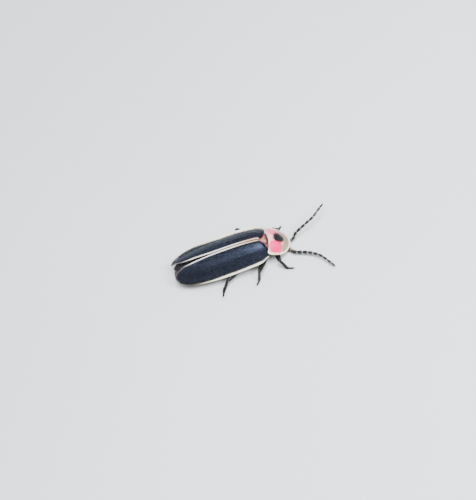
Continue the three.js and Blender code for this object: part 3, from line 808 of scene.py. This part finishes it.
def shield():
    """The shield: a domed plate with a groove inside its rim and swellings under the rose patches."""
    skin = Skin()
    half = 0.07

    def place(share, cosine, sine):
        flat = math.sin(share * math.pi) ** 0.75
        upper = share < 0.5
        p = SHIELD_CENTRE + flat * shield_reach(cosine, sine) * cosine
        q = flat * shield_reach(cosine, sine) * sine * shield_flare(p)
        p -= 0.16 * smooth(abs(q), 1.0, 1.78) * smooth(-p, -0.75, 0) * smooth(flat, 0.6, 1)
        turned_up = 0.04 * smooth(flat, 0.9, 1)
        groove = 0.02 * hump(flat, 0.86, 0.05)
        swell = 0.05 * hump(p, 0.9, 0.5) * (hump(q, 0.95, 0.42) + hump(q, -0.95, 0.42))
        uneven = 0.014 * rough(p, q, 1, 0.5) + 0.007 * rough(p, q, 5, 0.16)
        face = math.sqrt(max(0, 1 - flat**10)) * half * (1 if upper else -1)
        return on_shield(p, q, shield_top(p, q) - half + turned_up - groove + swell + uneven + face)

    skin.round_form(220, 130, place)
    vector = skin.bm.verts.layers.float_vector.new("shield")
    turn = Matrix.Rotation(PITCH, 3, "Y")
    for vert in skin.bm.verts:
        flat = turn.inverted() @ (vert.co - Vector((0, 0, CORNER_HEIGHT)))
        p, q = flat.x, flat.y
        vert[vector] = (p, q, shield_share(p, q))
    skin.face_out()

    def off_spot(face):
        p, q, share = face.verts[0][vector]
        return face.normal.z > 0.2 and math.hypot(p - SPOT_PLACE, q) > 0.62

    def at_rim(face):
        p, q, share = face.verts[0][vector]
        return share > 0.975 and p > 0.3

    roots = rooted(skin, SHIELD_DOWN, 5, lambda p, n: Vector((-0.5, 0.3 * p.y, 0)), off_spot)
    roots += rooted(skin, SHIELD_FRINGE, 6, lambda p, n: Vector((p.x - 0.9, p.y, -0.4)), at_rim)
    piece("shield", skin, [SHIELD], ["pronotum"], "rose_cream_shield")
    coat("shield_down", roots, GOLD_HAIR, "rose_cream_shield")


def scutellum():
    skin = Skin()

    def place(u, v):
        x = lerp(-0.68, -0.06, u)
        wide = 0.36 * (0.16 + 0.84 * u**0.8)
        y = (2 * v - 1) * wide
        crown = 0.12 * (1 - (2 * v - 1) ** 2)
        bead = 0.02 * hump(abs(2 * v - 1), 0.9, 0.1)
        uneven = 0.012 * rough(x, y, 2, 0.16)
        return Vector((x, y, 2.9 - 0.2 * u + crown + bead + uneven))

    skin.sheet(34, 28, place, 0.26)
    skin.face_out()
    roots = rooted(skin, SCUTELLUM_DOWN, 8, backwards, lambda f: f.normal.z > 0.3)
    piece("scutellum_plate", skin, [RUSSET], ["scutellum"], "russet_plate")
    coat("scutellum_down", roots, GOLD_HAIR, "russet_plate")


# Thorax and abdomen.

BOXINESS = 0.8
thorax_width = through((-3.1, 1.7), (-2, 1.6), (-1, 1.4), (0, 1.2), (0.8, 1.1))
thorax_under = through((-3.1, 1.2), (-1.5, 1.12), (0, 1.18), (0.8, 1.2))
abdomen_width = through((-11, 0.45), (-10.4, 0.8), (-9.4, 1.2), (-7.2, 1.62), (-5, 1.78), (-3.1, 1.72))
abdomen_top = through((-11, 1.5), (-9.4, 1.82), (-6, 2.3), (-3, 2.6))
abdomen_under = through((-11, 1.2), (-9.4, 1.08), (-6, 1.05), (-3, 1.2))


def shield_floor(x, y):
    h = p = 0
    for _ in range(4):
        p = (x - h * math.sin(PITCH)) / math.cos(PITCH)
        h = shield_top(p, y) - 0.42
    return CORNER_HEIGHT - p * math.sin(PITCH) + h * math.cos(PITCH) - 0.14


def wing_floor(x, y):
    wing = 0.44 * (1 - smooth(abs(y), 1.48, 1.8)) if x < -1.05 else 0
    return case_under(x, y) - 0.15 - wing


def trunk(skin, back, front, width, top, under, roof, relief, sides=56, rings=26, strip=(0, 0, 1, 1)):
    """A body section from back to front, kept below its roof. relief(t, y, x) works its underside."""
    def place(share, cosine, sine):
        t = lerp(share, (1 - math.cos(math.pi * share)) / 2, 0.5)
        x = lerp(back, front, t)
        near = clamp(min(t, 1 - t) * abs(front - back) / 0.22)
        rounding = math.sqrt(1 - (1 - near) ** 2)
        middle = lerp(under(x, t), top(x, t), 0.3)
        y = signed_power(cosine, BOXINESS) * width(x, t) * rounding
        z = signed_power(sine, BOXINESS)
        rise = (top(x, t) - middle) if z > 0 else (middle - under(x, t) + relief(t, y, x))
        return Vector((x, y, min(middle + z * rise * rounding, roof(x, y))))

    return skin.round_form(sides, rings, place, strip)


def saddle(u, v):
    """The lobed plate behind the shield, between the shoulders of the wing cases."""
    x, y = lerp(-0.86, 0.02, u), lerp(-1.02, 1.02, v)
    lobes = 0.1 * hump(abs(y), 0.62, 0.2) + 0.07 * hump(abs(y), 0.24, 0.12)
    fall = 0.3 * abs(y / 1.02) ** 4 + 0.12 * (1 - u) ** 2
    uneven = 0.01 * rough(x, y, 3, 0.12)
    return Vector((x, y, 2.6 + lobes * math.sin(math.pi * clamp(u, 0.1, 0.9)) - fall + uneven))


def saddle_roof(x, y):
    return min(wing_floor(x, y), 2.42)


def thorax():
    """Three sections from the shield back, the middle one under its lobed plate."""
    def plates(t, y, x):
        suture = 0.035 * hump(abs(y), 0.75, 0.045) + 0.03 * hump(t, 0.12, 0.04) + 0.03 * hump(y, 0, 0.03)
        return 0.02 * rough(x, y, 7, 0.4) - suture

    sections = (
        ("foreplate", "prosternum", 0.0, 0.82, shield_floor, BROWN, "dark_brown_cuticle"),
        ("midplate", "mesothorax", -1.06, 0.02, saddle_roof, RUSSET, "russet_plate"),
        ("breastplate", "metathorax", -3.06, -1.0, wing_floor, BROWN, "dark_brown_cuticle"),
    )
    roots = []
    for i, (name, node, back, front, roof, finish, slot) in enumerate(sections):
        skin = Skin()
        strip = (0, i / 3, 1, (i + 0.98) / 3)
        trunk(
            skin, back, front, lambda x, t: thorax_width(x) * (1 + 0.03 * hump(t, 0.5, 0.3)),
            lambda x, t: 2.6, lambda x, t: thorax_under(x), roof, plates, strip=strip,
        )
        if name == "midplate":
            skin.sheet(30, 64, saddle, 0.2, strip)
        skin.face_out()
        roots += rooted(skin, BREAST_DOWN, 20 + i, backwards, lambda f: f.normal.z < 0.4)
        piece(name, skin, [finish], [node], slot)
    coat("breast_down", roots, GOLD_HAIR, "dark_brown_cuticle")


def ring_width(x, t):
    return abdomen_width(x) * (1 + 0.05 * (1 - 2 * t)) + 0.03 * hump(t, 0.12, 0.1)


def abdomen():
    """Eight overlapping rings. The sixth and seventh carry a lantern plate each on their underside."""
    front_end, tip, count = -3.1, -10.95, 8
    pitch = (front_end - tip) / count
    roots = []
    for i in range(1, count + 1):
        front = front_end - (i - 1) * pitch + 0.07
        back = front - pitch - 0.1 if i < count else tip
        lit = i in (6, 7)
        skin = Skin("border")

        def under(x, t):
            if lit:
                return lerp(abdomen_under(x), abdomen_top(x), 0.15)
            return abdomen_under(x) - 0.05 * (1 - 2 * t)

        def plates(t, y, x):
            return 0.02 * rough(x, y, i, 0.3) - 0.03 * hump(abs(y) / abdomen_width(x), 0.72, 0.05)

        trunk(
            skin, back, front, ring_width, lambda x, t: abdomen_top(x) + 0.04 * (1 - 2 * t), under,
            wing_floor, plates, sides=64, rings=22, strip=(0, (i - 1) / 8, 1, (i - 0.04) / 8),
        )
        for vert in skin.bm.verts:
            vert[skin.layer("border")] = (0.7 if i < 7 else 0.0) * hump(vert[skin.layer("u")], 0.14, 0.08)
        skin.face_out()
        roots += rooted(skin, RING_DOWN, 30 + i, backwards)
        piece(f"abdomen_ring_{i}", skin, [SEGMENT], [f"abdomen_{i}"], "dark_brown_cuticle")
        if lit:
            lamp = Skin()
            trunk(
                lamp, back + 0.06, front - 0.08, lambda x, t: ring_width(x, t) - 0.05,
                lambda x, t: lerp(abdomen_under(x), abdomen_top(x), 0.3),
                lambda x, t: abdomen_under(x) - 0.05 * (1 - 2 * t), wing_floor,
                lambda t, y, x: 0.02 * rough(x, y, i, 0.4) - 0.02 * hump(t, 0.5, 0.25), sides=64,
            )
            piece(f"lantern_plate_{i}", lamp, [LANTERN], [f"lantern_{i}"], "pale_lantern")
    coat("abdomen_down", roots, GOLD_HAIR, "dark_brown_cuticle")


# Head.

HEAD = Vector((1.2, 0, 1.0))
EYE_RADIUS = 0.445
PALP_PARTS = ((0, 0.24, 0.07), (0.22, 0.5, 0.085), (0.48, 0.72, 0.09), (0.7, 1, 0.12))


def head():
    skin = Skin()

    def capsule(share, cosine, sine):
        along, ring = -math.cos(share * math.pi), math.sin(share * math.pi)
        x = HEAD.x + 0.6 * along
        y = 0.62 * ring * cosine
        brow = 0.05 * hump(abs(y), 0.34, 0.14) * hump(along, 0.55, 0.3)
        hollow = 0.07 * hump(y, 0, 0.2) * hump(along, 0.75, 0.25)
        z = HEAD.z - 0.45 * max(0, along) ** 2 + 0.56 * ring * sine
        uneven = 0.012 * rough(x, y, z, 0.2)
        return Vector((x + brow - hollow + uneven, y, min(z, shield_floor(x, y)) + uneven))

    skin.round_form(72, 48, capsule)
    for side in (1, -1):
        socket = arc((1.4, 0.32 * side, 0.76), (1.5, 0.34 * side, 0.72), (1.58, 0.35 * side, 0.66))
        skin.limb(socket, tapered(0.17, 0.13), 20, 8)
    lip = arc((1.48, -0.2, 0.4), (1.6, 0, 0.38), (1.48, 0.2, 0.4))
    skin.limb(lip, lambda t: (0.1, 0.07), 14, 14)
    skin.face_out()
    roots = rooted(skin, FACE_DOWN, 41, lambda p, n: Vector((0.6, 0, -0.8)), lambda f: f.normal.x > 0)
    piece("head_capsule", skin, [BROWN], ["head"], "dark_brown_cuticle")
    coat("face_down", roots, GOLD_HAIR, "dark_brown_cuticle")

    for name, side in SIDES.items():
        eye = Skin()
        bmesh.ops.create_icosphere(
            eye.bm, subdivisions=5, radius=EYE_RADIUS, matrix=Matrix.Translation((1.04, 0.6 * side, 0.86)),
        )
        piece(f"eye_lens_{name}", eye, [EYE], [f"eye_{name}"], "eye_black", sharp=170)

        jaw = Skin()
        hook = arc((1.44, 0.17 * side, 0.38), (1.68, 0.24 * side, 0.22), (1.64, 0.03 * side, 0.1))
        jaw.limb(hook, lambda t: (lerp(0.1, 0.02, t**1.4), lerp(0.08, 0.02, t)), 16, 20)
        piece(f"jaw_{name}", jaw, [BROWN], [f"mandible_{name}"], "dark_brown_cuticle")

        palp = Skin("border")
        line = arc((1.2, 0.38 * side, 0.44), (1.34, 0.56 * side, 0.4), (1.42, 0.6 * side, 0.12))
        for start, end, size in PALP_PARTS:
            palp.limb(
                line.part(start, end), lambda t: (size * (0.75 + 0.25 * math.sin(math.pi * t)),) * 2, 14, 12,
                border=lambda u: 0.5 * hump(u, 1, 0.1),
            )
        piece(f"mouth_palp_{name}", palp, [LIMB], [f"palp_{name}"], "black_cuticle")


# Feelers of eleven segments with pale joints.

FEELER_LINES = {
    "left": (
        (1.5, 0.34, 0.7), (2.05, 0.36, 0.36), (2.5, 0.28, 0.68), (2.95, 0.42, 1.32),
        (4.3, 0.86, 1.9), (5.33, 1.2, 2.25), (6.05, 1.75, 2.4), (6.73, 2.38, 2.3),
    ),
    "right": (
        (1.5, -0.34, 0.7), (2.0, -0.9, 0.54), (2.46, -1.36, 0.7), (3.47, -1.78, 0.78),
        (4.27, -2.18, 0.8), (5.02, -2.72, 0.75), (5.7, -3.6, 0.65), (6.21, -4.29, 0.5),
    ),
}
SCAPE_GIRTH = 0.215
SEGMENT_GAP = 0.003
JOINT_REACH = 0.012
SEGMENT_ENDS = (0, 0.115, 0.165, *(0.165 + 0.835 * (i + 1) / 9 for i in range(9)))


def feeler(name, side):
    """One feeler: widening segments, and a pale joint after each but the last. Returns its hair roots."""
    line = line_through(FEELER_LINES[name])
    skin = Skin("border")
    for k, (start, end) in enumerate(zip(SEGMENT_ENDS, SEGMENT_ENDS[1:])):
        girth = lerp(0.2, 0.11, start**0.8) if k else SCAPE_GIRTH
        last = k == len(SEGMENT_ENDS) - 2

        def size(t):
            swell = 0.92 - 0.45 * smooth(t, 0.45, 1) if last else 0.8 + 0.2 * smooth(t, 0, 0.75)
            return girth * swell * 1.08, girth * swell * 0.92

        skin.limb(
            line.part(start + SEGMENT_GAP, end - SEGMENT_GAP), size, 18, 18, blunt=0.6,
            strip=(start, 0, end, 1),
            border=lambda u: 0.3 * hump(u, 1, 0.05) + 0.25 * hump(u, 0, 0.05),
        )
        if not last:
            skin.limb(
                line.part(end - JOINT_REACH, end + JOINT_REACH, 6), even(girth * 0.5), 12, 6,
                strip=(end - 0.01, 0, end + 0.01, 1), finish=1,
            )
    skin.face_out()

    def along(place, normal):
        best = min(range(0, len(line.points) - 1, 3), key=lambda i: (line.points[i] - place).length_squared)
        return (line.points[best + 1] - line.points[best]).normalized()

    roots = rooted(skin, FEELER_DOWN, 50 + side, along, lambda f: f.material_index == 0)
    piece(f"feeler_{name}", skin, [BLACK, JOINT], [f"antenna_{name}"], "black_cuticle")
    return roots


# Legs, each by its places: root, hip, knee, ankle and toe.

LEGS = {
    "front_left": (
        (0.4, 0.45, 1.45), (0.5, 0.85, 0.92), (0.65, 1.85, 1.35),
        (1.1, 2.15, 0.3), (1.38, 2.55, 0.2),
    ),
    "front_right": (
        (0.4, -0.45, 1.45), (0.5, -0.85, 0.92), (0.74, -2.27, 1.45),
        (1.1, -2.66, 0.3), (1.78, -2.84, 0.2),
    ),
    "mid_left": (
        (-0.55, 0.5, 1.5), (-0.8, 0.98, 0.85), (-3.2, 3.05, 1.55),
        (-3.45, 2.98, 0.3), (-4.0, 3.08, 0.2),
    ),
    "mid_right": (
        (-0.55, -0.5, 1.5), (-0.7, -0.98, 0.85), (-1.66, -2.9, 1.55),
        (-2.08, -3.12, 0.3), (-2.42, -3.5, 0.2),
    ),
    "hind_left": (
        (-2.45, 0.55, 1.5), (-2.8, 1.0, 0.82), (-4.95, 2.6, 1.12),
        (-6.1, 2.9, 0.3), (-6.75, 3.1, 0.2),
    ),
    "hind_right": (
        (-2.45, -0.55, 1.5), (-2.8, -1.0, 0.82), (-5.3, -2.58, 1.15),
        (-6.1, -3.15, 0.3), (-6.3, -3.65, 0.2),
    ),
}


FOOT_ENDS = (0, 0.34, 0.55, 0.7, 0.86, 1.04)
FOOT_WIDTHS = (0.175, 0.165, 0.17, 0.135, 0.1)
FOOT_HEIGHT = 0.1
CLAW_HEIGHT = 0.012


def trochanter_size(t):
    return (0.15 + 0.02 * math.sin(math.pi * t),) * 2


def femur_size(t):
    swell = math.sin(math.pi * clamp(t) ** 0.85)
    return 0.185 + 0.09 * swell, 0.185 + 0.1 * swell


def tibia_size(t):
    swell = 0.03 * smooth(t, 0.1, 1)
    return 0.15 + swell, 0.145 + swell


def leg(index, name, joints):
    """One leg as a limb with spurs and a lobed foot with claws. Returns its hair roots."""
    root, hip, knee, ankle, toe = (Vector(joint) for joint in joints)
    thigh, shin = (knee - hip).normalized(), (ankle - knee).normalized()
    low, high = index / 6, (index + 0.96) / 6
    skin = Skin("border")
    parts = (
        (bowed(root, hip), tapered(0.28, 0.17), 20, 16, None),
        (bowed(hip - thigh * 0.12, hip + thigh * 0.26), trochanter_size, 18, 12, None),
        (bowed(hip + thigh * 0.1, knee + thigh * 0.06, (0, 0, 0.06)), femur_size, 24, 34, 0.97),
        (bowed(knee, ankle, (0.02, 0, 0.01)), tibia_size, 20, 34, 0.02),
        (bowed(knee - shin * 0.02, knee + shin * 0.1), even(0.175), 14, 8, None),
    )
    for k, (path, size, sides, rings, pale) in enumerate(parts):
        strip = (k / 5, low, (k + 0.96) / 5, high)
        border = (lambda u: 0.6 * hump(u, pale, 0.05)) if pale else None
        skin.limb(path, size, sides, rings, strip=strip, border=border)
    outward = Vector((shin.y, -shin.x, 0)).normalized()
    for turn in (-1, 1):
        spur = bowed(ankle + outward * 0.06 * turn, ankle + shin * 0.2 + outward * 0.13 * turn)
        skin.limb(spur, tapered(0.02, 0.004), 8, 8, strip=(0.96, low, 1, high))
    skin.face_out()

    def down_limb(place, normal):
        near_thigh = (place - hip).length < (place - ankle).length and (place - knee).length > 0.1
        return thigh if near_thigh and (place - hip).dot(thigh) < (knee - hip).length else shin

    roots = rooted(skin, LEG_DOWN, 60 + index, down_limb)
    nodes = [f"{part}_{name}" for part in ("coxa", "femur", "tibia")]
    piece(f"leg_{name}", skin, [LIMB], nodes, "dark_brown_cuticle")

    foot = Skin("border")
    run = toe - ankle
    run.z = 0
    run.normalize()
    side = Vector((-run.y, run.x, 0))
    line = arc(ankle + Vector((0, 0, 0.02)), (*ankle.lerp(toe, 0.3).xy, 0.11), (*toe.xy, 0.105))
    claw_strip = (0.9, low, 1, high)
    for k, (start, end, width) in enumerate(zip(FOOT_ENDS, FOOT_ENDS[1:], FOOT_WIDTHS)):
        def size(t):
            swell = smooth(t, 0, 0.8)
            return width * (0.86 + 0.22 * swell), min(width, FOOT_HEIGHT) * (0.7 + 0.3 * swell)

        foot.limb(
            line.part(start, min(end, 1)), size, 14, 12, strip=(k / 6, low, (k + 0.9) / 6, high),
            border=lambda u: 0.5 * hump(u, 1, 0.08),
        )
    drop = Vector((0, 0, 0.03))
    for turn in (-1, 1):
        lobe = bowed(line.point(0.76) + side * 0.03 * turn, line.point(0.92) + side * 0.09 * turn - drop)
        foot.limb(lobe, lambda t: (0.045 + 0.035 * math.sin(math.pi * t), 0.035), 12, 10, strip=claw_strip)
    for turn in (-1, 1):
        claw = arc(
            Vector((*toe.xy, 0.09)) + side * 0.02 * turn,
            toe + run * 0.13 + side * 0.08 * turn - Vector((0, 0, 0.04)),
            (*(toe + run * 0.17 + side * 0.11 * turn).xy, CLAW_HEIGHT),
        )
        foot.limb(claw, tapered(0.026, 0.006), 10, 14, strip=claw_strip)
    foot.face_out()
    roots += rooted(foot, FOOT_DOWN, 70 + index, lambda p, n: run, lambda f: f.normal.z > -0.2)
    piece(f"foot_{name}", foot, [LIMB], [f"tarsus_{name}"], "black_cuticle")
    return roots


for side_name, sign in SIDES.items():
    wing_case(side_name, sign)
    folded_wing(side_name, sign)
shield()
scutellum()
thorax()
abdomen()
head()
feeler_roots = [root for side_name, sign in SIDES.items() for root in feeler(side_name, sign)]
coat("feeler_down", feeler_roots, DARK_HAIR, "black_cuticle")
leg_roots = [root for i, (leg_name, joints) in enumerate(LEGS.items()) for root in leg(i, leg_name, joints)]
coat("leg_down", leg_roots, DARK_HAIR, "dark_brown_cuticle")


# Floor, light and camera. Lights stand off from one place, and the camera aims at another close to it.

LIT_PLACE = Vector((-4, 0, 1.5))
AIM = Vector((-3.453, 0.492, 1.5))

def floor():
    bm = bmesh.new()
    bmesh.ops.create_grid(bm, x_segments=8, y_segments=8, size=0.6)
    mesh = bpy.data.meshes.new("floor")
    bm.to_mesh(mesh)
    bm.free()
    made = bpy.data.objects.new("floor", mesh)
    bpy.context.scene.collection.objects.link(made)
    mesh.materials.append(FLOOR)


def soft_light(name, place, size, power, tint):
    lamp = bpy.data.lights.new(name, "AREA")
    lamp.size = size * MM
    lamp.energy = power
    lamp.color = tint
    made = bpy.data.objects.new(name, lamp)
    bpy.context.scene.collection.objects.link(made)
    made.location = (ORIGIN + LIT_PLACE + Vector(place)) * MM
    made.rotation_mode = "QUATERNION"
    made.rotation_quaternion = (-Vector(place)).to_track_quat("-Z", "Y")


def camera():
    turn, height, tilt = (math.radians(angle) for angle in (19.81, 57.57, 34.2))
    distance, focal_pixels, long_side = 110, 1023, 500
    back = Vector((math.sin(turn) * math.cos(height), -math.cos(turn) * math.cos(height), math.sin(height)))
    level = Vector((math.cos(turn), math.sin(turn), 0))
    up = back.cross(level)
    right = math.cos(tilt) * level - math.sin(tilt) * up
    above = math.sin(tilt) * level + math.cos(tilt) * up
    data = bpy.data.cameras.new("camera")
    data.lens = focal_pixels * data.sensor_width / long_side
    data.clip_start = MM
    made = bpy.data.objects.new("camera", data)
    bpy.context.scene.collection.objects.link(made)
    pose = Matrix((right, above, back)).transposed().to_4x4()
    pose.translation = (ORIGIN + AIM + back * distance) * MM
    made.matrix_world = pose
    bpy.context.scene.camera = made


floor()
soft_light("key", (45, -50, 190), 70, 1.05, (0.93, 0.96, 1.0))
soft_light("glint", (112, -72, 150), 30, 0.4, (0.8, 0.87, 1.0))
soft_light("fill", (-120, 120, 120), 140, 0.12, (0.85, 0.92, 1.0))
soft_light("side", (170, -40, 90), 120, 0.1, (1.0, 0.97, 0.93))
world = bpy.data.worlds.new("studio")
bpy.context.scene.world = world
world.use_nodes = True
sky = world.node_tree.nodes["Background"].inputs
sky["Color"].default_value = (0.86, 0.91, 1.0, 1)
sky["Strength"].default_value = 0.3
camera()
